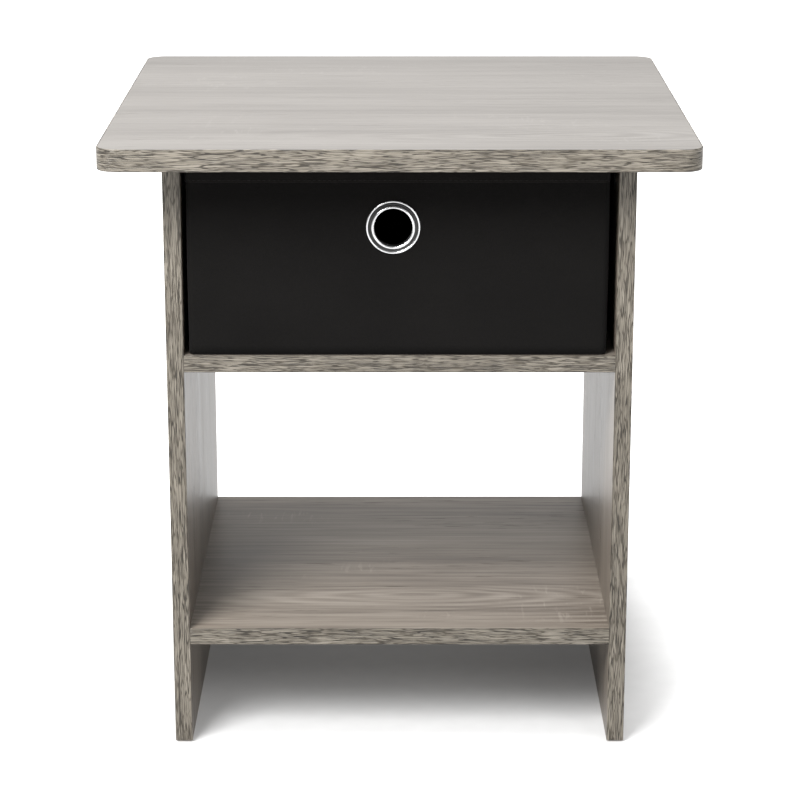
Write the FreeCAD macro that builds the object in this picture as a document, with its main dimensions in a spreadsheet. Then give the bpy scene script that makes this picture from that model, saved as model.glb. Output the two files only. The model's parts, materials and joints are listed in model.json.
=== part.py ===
import FreeCAD, Part
import math
import os

import Sketcher
from FreeCAD import Placement, Rotation, Vector

# A square side table. A banded top stands on two side panels joined by a middle and a bottom shelf,
# and a fabric bin with a metal eyelet slides in the bay under the top as its drawer.
# Frame: +Z up, the front faces -Y, the origin is on the floor under the middle of the top. Millimetres.

DIMENSIONS = {
    # table
    "table_height": 440,
    "top_width": 400,
    "top_depth": 400,
    "top_thickness": 15,
    "top_corner_radius": 14,
    "carcass_width": 321,
    "carcass_depth": 300,
    "board_thickness": 12,
    "middle_shelf_height": 287,
    "bottom_shelf_height": 86.5,
    "band_thickness": 0.8,
    "band_rounding": 0.4,
    "back_panel_inset": 6,
    "back_panel_gap": 0.5,
    # holes are this much wider and deeper than what goes in them
    "drill_clearance": 0.2,
    "depth_clearance": 0.5,
    # cam joints between the top and the sides
    "cam_diameter": 11.8,
    "cam_length": 9,
    "cam_face_thickness": 2.6,
    "cam_slot_width": 6.2,
    "cam_setback": 24,
    "cam_spacing": 220,
    "bolt_thread_diameter": 4.6,
    "bolt_thread_length": 10,
    "bolt_shank_diameter": 3.6,
    "bolt_head_diameter": 5.6,
    "bolt_head_length": 3,
    "bolt_passage_diameter": 6.4,
    # dowels
    "dowel_diameter": 6,
    "dowel_chamfer": 0.6,
    "dowel_spacing": 130,
    "top_dowel_length": 30,
    "top_dowel_rise": 10,
    "shelf_dowel_length": 25,
    "shelf_dowel_in_side": 7.5,
    # countersunk screws through the sides, and the discs stuck over their heads
    "screw_diameter": 3.5,
    "screw_length": 35,
    "screw_tip_length": 3,
    "screw_head_diameter": 7,
    "screw_head_sink": 0.1,
    "screw_passage_diameter": 4.2,
    "screw_spacing": 220,
    "back_screw_spacing": 68,
    "drive_slot_length": 4,
    "drive_slot_width": 0.9,
    "drive_slot_depth": 1.4,
    "cover_diameter": 10,
    "cover_thickness": 0.5,
    # nailed glides under the sides
    "glide_diameter": 10,
    "glide_height": 1.2,
    "glide_rounding": 0.4,
    "glide_spacing": 272,
    "nail_diameter": 2,
    "nail_length": 10,
    # fabric bin
    "bin_width": 287,
    "bin_depth": 278,
    "bin_height": 129.9,
    "bin_corner_radius": 4,
    "bin_shift": -1.3,
    "bin_setback": 1.5,
    "bin_floor_gap": 0.3,
    "fabric_thickness": 0.8,
    "lining_thickness": 0.6,
    "card_thickness": 2,
    "card_end_gap": 0.5,
    "card_floor_gap": 0.2,
    "card_top_gap": 1.4,
    "binding_width": 10,
    "binding_thickness": 0.6,
    # eyelet in the bin's front
    "eyelet_shift": -3,
    "eyelet_height": 89.7,
    "eyelet_hole_diameter": 26,
    "eyelet_flange_diameter": 37,
    "eyelet_flange_height": 1.2,
    "eyelet_groove_height": 0.7,
    "eyelet_rim_height": 2.3,
    "eyelet_barrel_wall": 0.7,
    "eyelet_passage_diameter": 28,
    "washer_diameter": 34,
    "washer_thickness": 0.8,
    "lip_width": 2,
    "lip_thickness": 0.4,
    # loose board in the bottom of the bin
    "base_board_thickness": 3,
    "base_cover_thickness": 0.6,
    "base_board_clearance": 2.2,
    "base_board_lift": 0.3,
}

# Lengths that several pieces share, worked out from the sheet's cells.
SIDE_HEIGHT = "(dims.table_height - dims.top_thickness - dims.glide_height)"
CORE_DEPTH = "(dims.carcass_depth - 2 * dims.band_thickness)"
INNER_WIDTH = "(dims.carcass_width - 2 * dims.board_thickness)"
HALF_INNER = "(dims.carcass_width / 2 - dims.board_thickness)"
SIDE_MIDDLE = "(dims.carcass_width / 2 - dims.board_thickness / 2)"
TOP_UNDERSIDE = "(dims.table_height - dims.top_thickness)"
BAY_HEIGHT = f"({TOP_UNDERSIDE} - dims.middle_shelf_height)"
BACK_HEIGHT = f"({BAY_HEIGHT} - dims.back_panel_gap)"
BACK_MIDDLE = "(dims.carcass_depth / 2 - dims.back_panel_inset - dims.board_thickness / 2)"
DOWEL_HOLE = "(dims.dowel_diameter + dims.drill_clearance)"
SCREW_HOLE = "(dims.screw_diameter + dims.drill_clearance)"
SCREW_IN_BOARD = "(dims.screw_length - dims.board_thickness)"
BIN_Y = "(-dims.carcass_depth / 2 + dims.bin_setback + dims.bin_depth / 2)"
BIN_Z = "(dims.middle_shelf_height + dims.bin_floor_gap)"
WALL_THICKNESS = "(dims.fabric_thickness + dims.card_thickness + dims.lining_thickness)"
CARD_OFFSET = "(dims.fabric_thickness + dims.card_thickness / 2)"
LINING_OFFSET = "(dims.fabric_thickness + dims.card_thickness)"
SHELF_HEIGHTS = {"middle_shelf": "dims.middle_shelf_height", "bottom_shelf": "dims.bottom_shelf_height"}
SIDES = {"left": -1, "right": 1}


# ---- helpers -------------------------------------------------------------------------------------


def fill_sheet(doc):
    """Puts every driving dimension in a spreadsheet, one named cell each."""
    sheet = doc.addObject("Spreadsheet::Sheet", "dims")
    for row, (name, value) in enumerate(DIMENSIONS.items(), start=1):
        sheet.set(f"A{row}", name)
        sheet.set(f"B{row}", str(value))
        sheet.setAlias(f"B{row}", name)
    doc.recompute()


def new_body(doc, name):
    body = doc.addObject("PartDesign::Body", name)
    body.Label = name
    return body


def place(piece, x="0", y="0", z="0", rotation=Rotation()):
    """Turns a piece and binds its position in the table's frame."""
    piece.Placement = Placement(Vector(), rotation)
    for axis, expression in zip("xyz", (x, y, z)):
        piece.setExpression(f"Placement.Base.{axis}", expression)


def new_sketch(body, name, role="XY_Plane", offset="0"):
    """Attaches a sketch to one of the body's origin planes, moved along the plane's normal."""
    sketch = body.newObject("Sketcher::SketchObject", f"{body.Name}_{name}")
    plane = next(item for item in body.Origin.OriginFeatures if item.Role == role)
    sketch.AttachmentSupport = (plane, [""])
    sketch.MapMode = "FlatFace"
    sketch.setExpression("AttachmentOffset.Base.z", offset)
    return sketch


def bind(sketch, kind, geometry, expression):
    """Adds a driving dimension whose value comes from an expression."""
    index = sketch.addConstraint(Sketcher.Constraint(kind, *geometry, 1.0))
    sketch.setExpression(f"Constraints[{index}]", expression)


def pin_point(sketch, geometry, point, x, y):
    """Fixes a point of the sketch at two distances from its origin."""
    bind(sketch, "DistanceX", (-1, 1, geometry, point), x)
    bind(sketch, "DistanceY", (-1, 1, geometry, point), y)


def polygon(sketch, corners):
    """Draws a closed outline through corners given as pairs of expressions."""
    count = len(corners)
    lines = []
    for i in range(count):
        start = Vector(i, i * i, 0)
        end = Vector(i + 1, (i + 1) * (i + 1), 0)
        lines.append(sketch.addGeometry(Part.LineSegment(start, end), False))
    for i, (x, y) in enumerate(corners):
        pin_point(sketch, lines[i], 1, x, y)
        sketch.addConstraint(Sketcher.Constraint("Coincident", lines[i - 1], 2, lines[i], 1))


def rectangle(sketch, width, height, x="0", y="0"):
    """Draws a rectangle centred on (x, y)."""
    left, right = f"{x} - {width} / 2", f"{x} + {width} / 2"
    low, high = f"{y} - {height} / 2", f"{y} + {height} / 2"
    polygon(sketch, [(left, low), (right, low), (right, high), (left, high)])


def rounded_rectangle(sketch, width, height, radius):
    """Draws a rectangle centred on the origin whose four corners are arcs of one radius."""
    signs = [(1, 1), (-1, 1), (-1, -1), (1, -1)]
    arcs = []
    lines = []
    for i, (across, along) in enumerate(signs):
        circle = Part.Circle(Vector(8 * across, 8 * along, 0), Vector(0, 0, 1), 2)
        arc = Part.ArcOfCircle(circle, i * math.pi / 2, (i + 1) * math.pi / 2)
        arcs.append(sketch.addGeometry(arc, False))
    for i in range(4):
        start = sketch.Geometry[arcs[i]].EndPoint
        end = sketch.Geometry[arcs[(i + 1) % 4]].StartPoint
        lines.append(sketch.addGeometry(Part.LineSegment(start, end), False))
    for i, (across, along) in enumerate(signs):
        centre_x = f"{across} * ({width} / 2 - {radius})"
        centre_y = f"{along} * ({height} / 2 - {radius})"
        pin_point(sketch, arcs[i], 3, centre_x, centre_y)
        bind(sketch, "Radius", (arcs[i],), radius)
        first, second = ("Horizontal", "Vertical") if i % 2 == 0 else ("Vertical", "Horizontal")
        sketch.addConstraint(Sketcher.Constraint(first, arcs[i], 1, arcs[i], 3))
        sketch.addConstraint(Sketcher.Constraint(second, arcs[i], 2, arcs[i], 3))
        sketch.addConstraint(Sketcher.Constraint("Coincident", arcs[i], 2, lines[i], 1))
        sketch.addConstraint(Sketcher.Constraint("Coincident", lines[i], 2, arcs[(i + 1) % 4], 1))


def circles(sketch, diameter, centres):
    """Draws equal circles at centres given as pairs of expressions."""
    for i, (x, y) in enumerate(centres):
        circle = sketch.addGeometry(Part.Circle(Vector(i, 0, 0), Vector(0, 0, 1), 1), False)
        pin_point(sketch, circle, 3, x, y)
        bind(sketch, "Diameter", (circle,), diameter)


def pad(sketch, length, back=False, middle=False):
    """Pads a sketch along its plane's normal, against it, or half each way."""
    body = sketch.getParentGeoFeatureGroup()
    feature = body.newObject("PartDesign::Pad", f"{sketch.Name}_pad")
    feature.Profile = sketch
    feature.setExpression("Length", length)
    feature.Reversed = back
    feature.Midplane = middle
    body.Document.recompute()


def pocket(sketch, length, along_normal=False):
    """Cuts a sketch into its body, against the plane's normal unless told otherwise."""
    body = sketch.getParentGeoFeatureGroup()
    before = body.Shape.Volume
    feature = body.newObject("PartDesign::Pocket", f"{sketch.Name}_cut")
    feature.Profile = sketch
    feature.setExpression("Length", length)
    feature.Reversed = along_normal
    body.Document.recompute()
    if body.Shape.Volume > before - 1e-6:
        raise ValueError(f"{feature.Name} cuts nothing")


def countersunk_holes(sketch, along_normal):
    """Drills and countersinks clearance holes for the screws through a side panel."""
    body = sketch.getParentGeoFeatureGroup()
    before = body.Shape.Volume
    feature = body.newObject("PartDesign::Hole", f"{sketch.Name}_hole")
    feature.Profile = sketch
    body.Document.recompute()
    feature.DepthType = "ThroughAll"
    feature.Reversed = along_normal
    feature.setExpression("Diameter", "dims.screw_passage_diameter")
    feature.HoleCutType = "Countersink"
    feature.HoleCutCustomValues = True
    feature.HoleCutCountersinkAngle = 90
    feature.setExpression(
        "HoleCutDiameter", "dims.screw_head_diameter + 2 * (dims.drill_clearance + dims.screw_head_sink)"
    )
    body.Document.recompute()
    if body.Shape.Volume > before - 1e-6:
        raise ValueError(f"{feature.Name} cuts nothing")


def revolve(sketch):
    """Turns a profile all the way round its own vertical axis."""
    body = sketch.getParentGeoFeatureGroup()
    feature = body.newObject("PartDesign::Revolution", f"{sketch.Name}_turn")
    feature.Profile = sketch
    feature.ReferenceAxis = (sketch, ["V_Axis"])
    feature.Angle = 360
    body.Document.recompute()


def round_edges(body, radius, wanted):
    """Fillets the edges of the body's last shape whose middle point passes a test."""
    base = body.Tip
    edges = enumerate(base.Shape.Edges, start=1)
    names = [f"Edge{number}" for number, edge in edges if wanted(edge.CenterOfMass)]
    feature = body.newObject("PartDesign::Fillet", f"{body.Name}_rounding")
    feature.Base = (base, names)
    feature.setExpression("Radius", radius)
    body.Document.recompute()


def both_ways(spacing):
    """The two positions half a spacing each side of the middle."""
    return [f"-{spacing} / 2", f"{spacing} / 2"]


def pattern(doc, name, master, places):
    """Gathers linked copies of one fastener, each at (x, y, z, rotation), in one group of solids."""
    copies = []
    for number, (x, y, z, rotation) in enumerate(places, start=1):
        copy = doc.addObject("App::Link", f"{name}_{number}")
        copy.LinkedObject = master
        place(copy, x, y, z, rotation)
        copies.append(copy)
    group = doc.addObject("Part::Compound", name)
    group.Label = name
    group.Links = copies
    return group


def outward(side):
    """The turn that points a fastener's own Z axis out of a side panel."""
    return Rotation(Vector(0, 0, 1), Vector(side, 0, 0))


# ---- boards and edge bands -----------------------------------------------------------------------


def top_panel(doc):
    """Core of the top, drilled from below. Its origin is the middle of its underside."""
    body = new_body(doc, "top_panel")
    outline = new_sketch(body, "outline")
    rounded_rectangle(
        outline,
        "(dims.top_width - 2 * dims.band_thickness)",
        "(dims.top_depth - 2 * dims.band_thickness)",
        "(dims.top_corner_radius - dims.band_thickness)",
    )
    pad(outline, "dims.top_thickness")
    columns = [f"-{SIDE_MIDDLE}", SIDE_MIDDLE]
    bolts = new_sketch(body, "bolt_holes")
    circles(
        bolts,
        "dims.bolt_thread_diameter + dims.drill_clearance",
        [(x, y) for x in columns for y in both_ways("dims.cam_spacing")],
    )
    pocket(bolts, "dims.bolt_thread_length + dims.depth_clearance", along_normal=True)
    dowels = new_sketch(body, "dowel_holes")
    circles(dowels, DOWEL_HOLE, [(x, y) for x in columns for y in both_ways("dims.dowel_spacing")])
    pocket(dowels, "dims.top_dowel_rise + dims.depth_clearance", along_normal=True)
    place(body, z=TOP_UNDERSIDE)
    return body


def top_edge_band(doc):
    """Closed loop of edge band round the top, its two outer edges eased."""
    body = new_body(doc, "top_edge_band")
    outline = new_sketch(body, "outline")
    rounded_rectangle(outline, "dims.top_width", "dims.top_depth", "dims.top_corner_radius")
    rounded_rectangle(
        outline,
        "(dims.top_width - 2 * dims.band_thickness)",
        "(dims.top_depth - 2 * dims.band_thickness)",
        "(dims.top_corner_radius - dims.band_thickness)",
    )
    pad(outline, "dims.top_thickness")
    half = doc.dims.top_width / 2
    thickness = doc.dims.band_thickness
    ends = (0, doc.dims.top_thickness)
    corner = half - doc.dims.top_corner_radius * (1 - 2 / math.pi)
    round_edges(
        body,
        "dims.band_rounding",
        lambda middle: min(abs(middle.z - end) for end in ends) < 0.01
        and (
            max(abs(middle.x), abs(middle.y)) > half - thickness / 2
            or min(abs(middle.x), abs(middle.y)) > corner - 0.01
        ),
    )
    place(body, z=TOP_UNDERSIDE)
    return body


def side_panel(doc, name, side):
    """Core of a side panel. Its origin is at the inner face, at the bottom, half way back."""
    body = new_body(doc, name)
    right = side > 0
    middle = f"{side} * dims.board_thickness / 2"
    shelf_middles = [
        f"{height} - dims.board_thickness / 2 - dims.glide_height" for height in SHELF_HEIGHTS.values()
    ]
    outline = new_sketch(body, "outline", "YZ_Plane")
    rectangle(outline, CORE_DEPTH, SIDE_HEIGHT, y=f"{SIDE_HEIGHT} / 2")
    pad(outline, "dims.board_thickness", back=not right)

    cams = new_sketch(body, "cam_holes", "YZ_Plane")
    cam_height = f"{SIDE_HEIGHT} - dims.cam_setback"
    circles(
        cams,
        "dims.cam_diameter + dims.drill_clearance",
        [(y, cam_height) for y in both_ways("dims.cam_spacing")],
    )
    pocket(cams, "dims.cam_length + dims.depth_clearance", along_normal=right)
    bolts = new_sketch(body, "bolt_passages", offset=SIDE_HEIGHT)
    circles(bolts, "dims.bolt_passage_diameter", [(middle, y) for y in both_ways("dims.cam_spacing")])
    pocket(bolts, "dims.cam_setback")

    top_dowels = new_sketch(body, "top_dowel_holes", offset=SIDE_HEIGHT)
    circles(top_dowels, DOWEL_HOLE, [(middle, y) for y in both_ways("dims.dowel_spacing")])
    pocket(top_dowels, "dims.top_dowel_length - dims.top_dowel_rise + dims.depth_clearance")
    shelf_dowels = new_sketch(body, "shelf_dowel_holes", "YZ_Plane")
    circles(
        shelf_dowels, DOWEL_HOLE, [(y, z) for z in shelf_middles for y in both_ways("dims.dowel_spacing")]
    )
    pocket(shelf_dowels, "dims.shelf_dowel_in_side + dims.depth_clearance", along_normal=right)

    screws = new_sketch(body, "screw_holes", "YZ_Plane", offset=f"{side} * dims.board_thickness")
    back_middle = f"dims.middle_shelf_height + {BACK_HEIGHT} / 2 - dims.glide_height"
    centres = [(y, z) for z in shelf_middles for y in both_ways("dims.screw_spacing")]
    centres += [(BACK_MIDDLE, f"{back_middle} + {rise}") for rise in both_ways("dims.back_screw_spacing")]
    circles(screws, "dims.screw_passage_diameter", centres)
    countersunk_holes(screws, along_normal=not right)

    nails = new_sketch(body, "nail_holes")
    circles(
        nails,
        "dims.nail_diameter + dims.drill_clearance",
        [(middle, y) for y in both_ways("dims.glide_spacing")],
    )
    pocket(nails, "dims.nail_length + dims.depth_clearance", along_normal=True)
    place(body, x=f"{side} * {HALF_INNER}", z="dims.glide_height")
    return body


def end_holes(body, name, diameter, depth, centres):
    """Drills blind holes into both ends of a board that spans between the side panels."""
    for word, side in SIDES.items():
        sketch = new_sketch(body, f"{word}_{name}", "YZ_Plane", offset=f"{side} * {HALF_INNER}")
        circles(sketch, diameter, centres)
        pocket(sketch, depth, along_normal=side < 0)


def shelf(doc, name, height):
    """Core of a shelf. Its origin is the middle of its top face."""
    body = new_body(doc, name)
    outline = new_sketch(body, "outline")
    rectangle(outline, INNER_WIDTH, CORE_DEPTH)
    pad(outline, "dims.board_thickness", back=True)
    middle = "-dims.board_thickness / 2"
    dowel_depth = "dims.shelf_dowel_length - dims.shelf_dowel_in_side + dims.depth_clearance"
    dowel_centres = [(y, middle) for y in both_ways("dims.dowel_spacing")]
    end_holes(body, "dowels", DOWEL_HOLE, dowel_depth, dowel_centres)
    screw_depth = f"{SCREW_IN_BOARD} + dims.depth_clearance"
    screw_centres = [(y, middle) for y in both_ways("dims.screw_spacing")]
    end_holes(body, "screws", SCREW_HOLE, screw_depth, screw_centres)
    place(body, z=height)
    return body


def back_panel(doc):
    """Board across the back of the drawer bay. Its origin is the middle of its bottom edge."""
    body = new_body(doc, "back_panel")
    outline = new_sketch(body, "outline", "XZ_Plane")
    rectangle(outline, INNER_WIDTH, BACK_HEIGHT, y=f"{BACK_HEIGHT} / 2")
    pad(outline, "dims.board_thickness", middle=True)
    heights = [f"{BACK_HEIGHT} / 2 + {offset}" for offset in both_ways("dims.back_screw_spacing")]
    screw_depth = f"{SCREW_IN_BOARD} + dims.depth_clearance"
    end_holes(body, "screws", SCREW_HOLE, screw_depth, [("0", z) for z in heights])
    place(body, y=BACK_MIDDLE, z="dims.middle_shelf_height")
    return body


def edge_band(doc, name, width, height, face, x, z):
    """Strip on a board's front (face -1) or rear (face 1) edge; its two long outer edges are eased."""
    body = new_body(doc, name)
    outline = new_sketch(body, "outline", "XZ_Plane")
    rectangle(outline, width, height)
    pad(outline, "dims.band_thickness", back=face > 0)
    doc.recompute()
    box = body.Shape.BoundBox
    outer = box.YMax if face > 0 else box.YMin
    upright = box.ZLength > box.XLength

    def long_outer_edge(middle):
        along = middle.z if upright else middle.x
        return abs(middle.y - outer) < 0.01 and abs(along) < 0.01

    round_edges(body, "dims.band_rounding", long_outer_edge)
    place(body, x=x, y=f"{face} * {CORE_DEPTH} / 2", z=z)
    return body


def edge_bands(doc):
    """Bands on the front and rear edges of both sides and both shelves."""
    made = []
    for face_name, face in {"front": -1, "rear": 1}.items():
        for word, side in SIDES.items():
            name = f"{word}_side_{face_name}_band"
            middle = f"dims.glide_height + {SIDE_HEIGHT} / 2"
            x = f"{side} * {SIDE_MIDDLE}"
            made.append(edge_band(doc, name, "dims.board_thickness", SIDE_HEIGHT, face, x, middle))
        for word, height in SHELF_HEIGHTS.items():
            name = f"{word}_{face_name}_band"
            middle = f"{height} - dims.board_thickness / 2"
            made.append(edge_band(doc, name, INNER_WIDTH, "dims.board_thickness", face, "0", middle))
    return made


# ---- fasteners and fittings ----------------------------------------------------------------------


def cam_locks(doc):
    """Cams in the inner faces of the sides. A cam's own Z axis points into its board."""
    cam = new_body(doc, "cam_lock")
    drum = new_sketch(cam, "drum")
    circles(drum, "dims.cam_diameter", [("0", "0")])
    pad(drum, "dims.cam_length")
    slot = new_sketch(cam, "slot", offset="dims.cam_length")
    rectangle(slot, "dims.cam_slot_width", "dims.cam_diameter", y="dims.cam_diameter / 5")
    pocket(slot, "dims.cam_length - dims.cam_face_thickness")
    drive = new_sketch(cam, "drive")
    rectangle(drive, "dims.drive_slot_length * 1.5", "dims.drive_slot_width * 1.5")
    pocket(drive, "dims.drive_slot_depth", along_normal=True)
    places = []
    for side in SIDES.values():
        turn = Rotation(Vector(0, side, 0), Vector(0, 0, 1), Vector(side, 0, 0), "ZXY")
        for y in both_ways("dims.cam_spacing"):
            places.append((f"{side} * {HALF_INNER}", y, f"{TOP_UNDERSIDE} - dims.cam_setback", turn))
    return pattern(doc, "cam_locks", cam, places)


def cam_bolts(doc):
    """Bolts screwed into the top's underside, whose heads the cams hold. Z is up, 0 at the underside."""
    bolt = new_body(doc, "cam_bolt")
    profile = new_sketch(bolt, "profile", "XZ_Plane")
    thread, shank, head = (f"dims.bolt_{word}_diameter / 2" for word in ("thread", "shank", "head"))
    head_middle = "-dims.cam_setback"
    polygon(
        profile,
        [
            ("0", f"{head_middle} - dims.bolt_head_length / 2"),
            (head, f"{head_middle} - dims.bolt_head_length / 2"),
            (head, f"{head_middle} + dims.bolt_head_length / 2"),
            (shank, f"{head_middle} + dims.bolt_head_length / 2"),
            (shank, "0"),
            (thread, "0"),
            (thread, "dims.bolt_thread_length - 1"),
            (f"{thread} - 1", "dims.bolt_thread_length"),
            ("0", "dims.bolt_thread_length"),
        ],
    )
    revolve(profile)
    places = [
        (f"{side} * {SIDE_MIDDLE}", y, TOP_UNDERSIDE, Rotation())
        for side in SIDES.values()
        for y in both_ways("dims.cam_spacing")
    ]
    return pattern(doc, "cam_bolts", bolt, places)


def dowel(doc, name, length):
    """A round wooden peg with chamfered ends, its origin at its lower end."""
    body = new_body(doc, name)
    profile = new_sketch(body, "profile", "XZ_Plane")
    radius = "dims.dowel_diameter / 2"
    narrow = f"{radius} - dims.dowel_chamfer"
    polygon(
        profile,
        [
            ("0", "0"),
            (narrow, "0"),
            (radius, "dims.dowel_chamfer"),
            (radius, f"{length} - dims.dowel_chamfer"),
            (narrow, length),
            ("0", length),
        ],
    )
    revolve(profile)
    return body


def top_dowels(doc):
    """Upright pegs between the sides' top edges and the top."""
    places = [
        (
            f"{side} * {SIDE_MIDDLE}",
            y,
            f"{TOP_UNDERSIDE} + dims.top_dowel_rise - dims.top_dowel_length",
            Rotation(),
        )
        for side in SIDES.values()
        for y in both_ways("dims.dowel_spacing")
    ]
    return pattern(doc, "top_dowels", dowel(doc, "top_dowel", "dims.top_dowel_length"), places)


def shelf_dowels(doc):
    """Level pegs between the shelves' ends and the sides."""
    start = f"{HALF_INNER} + dims.shelf_dowel_in_side - dims.shelf_dowel_length"
    places = [
        (f"{side} * ({start})", y, f"{height} - dims.board_thickness / 2", outward(side))
        for height in SHELF_HEIGHTS.values()
        for side in SIDES.values()
        for y in both_ways("dims.dowel_spacing")
    ]
    return pattern(doc, "shelf_dowels", dowel(doc, "shelf_dowel", "dims.shelf_dowel_length"), places)


def screw(doc):
    """Countersunk screw. Its own Z axis points out of its head, 0 at the panel's outer face."""
    body = new_body(doc, "screw")
    profile = new_sketch(body, "profile", "XZ_Plane")
    head, shank = "dims.screw_head_diameter / 2", "dims.screw_diameter / 2"
    face = "-dims.screw_head_sink"
    neck = f"{face} - ({head} - {shank})"
    polygon(
        profile,
        [
            ("0", "-dims.screw_length"),
            (shank, "-dims.screw_length + dims.screw_tip_length"),
            (shank, neck),
            (head, face),
            ("0", face),
        ],
    )
    revolve(profile)
    for name, width, height in (
        ("drive_across", "dims.drive_slot_length", "dims.drive_slot_width"),
        ("drive_along", "dims.drive_slot_width", "dims.drive_slot_length"),
    ):
        slot = new_sketch(body, name)
        rectangle(slot, width, height)
        pocket(slot, "dims.drive_slot_depth")
    return body


def screw_places():
    """(x, y, z, rotation) of each screw at the sides' outer faces, by the board it holds."""
    face = "dims.carcass_width / 2"
    places = {
        name: [
            (f"{side} * {face}", y, f"{height} - dims.board_thickness / 2", outward(side))
            for side in SIDES.values()
            for y in both_ways("dims.screw_spacing")
        ]
        for name, height in SHELF_HEIGHTS.items()
    }
    middle = f"dims.middle_shelf_height + {BACK_HEIGHT} / 2"
    places["back_panel"] = [
        (f"{side} * {face}", BACK_MIDDLE, f"{middle} + {rise}", outward(side))
        for side in SIDES.values()
        for rise in both_ways("dims.back_screw_spacing")
    ]
    return places


def screws_and_covers(doc):
    """The screws of each board, and the thin discs stuck over all of their heads."""
    master = screw(doc)
    places = screw_places()
    made = [pattern(doc, f"{name}_screws", master, at) for name, at in places.items()]
    cover = new_body(doc, "screw_cover")
    outline = new_sketch(cover, "outline")
    circles(outline, "dims.cover_diameter", [("0", "0")])
    pad(outline, "dims.cover_thickness")
    round_edges(cover, "dims.cover_thickness / 2", lambda middle: middle.z > 0.1)
    made.append(pattern(doc, "screw_covers", cover, sum(places.values(), [])))
    return made


def foot_glides(doc):
    """Nail-on glides under the sides. Z is up, 0 on the floor."""
    glide = new_body(doc, "foot_glide")
    disc = new_sketch(glide, "disc")
    circles(disc, "dims.glide_diameter", [("0", "0")])
    pad(disc, "dims.glide_height")
    round_edges(glide, "dims.glide_rounding", lambda middle: middle.z < 0.1)
    nail = new_sketch(glide, "nail", offset="dims.glide_height")
    circles(nail, "dims.nail_diameter", [("0", "0")])
    pad(nail, "dims.nail_length")
    places = [
        (f"{side} * {SIDE_MIDDLE}", y, "0", Rotation())
        for side in SIDES.values()
        for y in both_ways("dims.glide_spacing")
    ]
    return pattern(doc, "foot_glides", glide, places)


# ---- fabric bin ----------------------------------------------------------------------------------
# Every piece of the bin has its origin under the middle of the bin, on the bin's own underside.


def place_in_bin(body):
    place(body, x="dims.bin_shift", y=BIN_Y, z=BIN_Z)


def bin_outline(sketch, inset):
    """Draws the bin's rounded outline, moved inwards by an expression."""
    rounded_rectangle(
        sketch,
        f"(dims.bin_width - 2 * {inset})",
        f"(dims.bin_depth - 2 * {inset})",
        f"(dims.bin_corner_radius - {inset})",
    )


def eyelet_hole(body, depth):
    """Cuts the round hole for the eyelet through a piece of the bin's front wall."""
    sketch = new_sketch(body, "eyelet_hole", "XZ_Plane", offset="dims.bin_depth / 2")
    circles(sketch, "dims.eyelet_passage_diameter", [("dims.eyelet_shift", "dims.eyelet_height")])
    pocket(sketch, depth)


def bin_bottom_fabric(doc):
    """Outer fabric under the bin."""
    body = new_body(doc, "bin_bottom_fabric")
    outline = new_sketch(body, "outline")
    bin_outline(outline, "0")
    pad(outline, "dims.fabric_thickness")
    place_in_bin(body)
    return body


def bin_wall_fabric(doc):
    """Outer fabric round the four walls."""
    body = new_body(doc, "bin_wall_fabric")
    outline = new_sketch(body, "outline", offset="dims.fabric_thickness")
    bin_outline(outline, "0")
    bin_outline(outline, "dims.fabric_thickness")
    pad(outline, "dims.bin_height - dims.fabric_thickness")
    eyelet_hole(body, "dims.fabric_thickness * 2")
    place_in_bin(body)
    return body


def bin_lining(doc):
    """Inner fabric, an open tray."""
    body = new_body(doc, "bin_lining")
    outline = new_sketch(body, "outline", offset="dims.fabric_thickness")
    bin_outline(outline, LINING_OFFSET)
    pad(outline, "dims.bin_height - dims.fabric_thickness")
    hollow = new_sketch(body, "hollow", offset="dims.bin_height")
    bin_outline(hollow, WALL_THICKNESS)
    pocket(hollow, "dims.bin_height - dims.fabric_thickness - dims.lining_thickness")
    eyelet_hole(body, f"{WALL_THICKNESS} * 2")
    place_in_bin(body)
    return body


def rim_binding(doc):
    """Tape folded over the top of all four walls."""
    body = new_body(doc, "rim_binding")
    outline = new_sketch(body, "outline", offset="dims.bin_height + dims.binding_thickness")
    bin_outline(outline, "(-dims.binding_thickness)")
    bin_outline(outline, f"({WALL_THICKNESS} + dims.binding_thickness)")
    pad(outline, "dims.binding_width", back=True)
    fold = new_sketch(body, "fold", offset="dims.bin_height")
    bin_outline(fold, "0")
    bin_outline(fold, WALL_THICKNESS)
    pocket(fold, "dims.binding_width")
    place_in_bin(body)
    return body


def card_stiffener(doc, name, across, sign):
    """Board inside one wall. across is the plane it lies in, sign the side of the bin it is on."""
    body = new_body(doc, name)
    length, depth = ("bin_width", "bin_depth") if across == "XZ_Plane" else ("bin_depth", "bin_width")
    height = "(dims.bin_height - dims.fabric_thickness - dims.card_floor_gap - dims.card_top_gap)"
    outline = new_sketch(body, "outline", across, offset=f"{sign} * (dims.{depth} / 2 - {CARD_OFFSET})")
    rectangle(
        outline,
        f"(dims.{length} - 2 * (dims.bin_corner_radius + dims.card_end_gap))",
        height,
        y=f"dims.fabric_thickness + dims.card_floor_gap + {height} / 2",
    )
    pad(outline, "dims.card_thickness", middle=True)
    place_in_bin(body)
    return body


def card_stiffeners(doc):
    """Boards in the front, back, left and right walls; the front one has the eyelet's hole."""
    # the normal of the XZ plane is -Y, so a positive offset lies towards the front
    walls = {
        "front": ("XZ_Plane", 1),
        "back": ("XZ_Plane", -1),
        "left": ("YZ_Plane", -1),
        "right": ("YZ_Plane", 1),
    }
    boards = {
        name: card_stiffener(doc, f"{name}_stiffener", across, sign)
        for name, (across, sign) in walls.items()
    }
    eyelet_hole(boards["front"], f"{WALL_THICKNESS} * 2")
    return list(boards.values())


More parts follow.
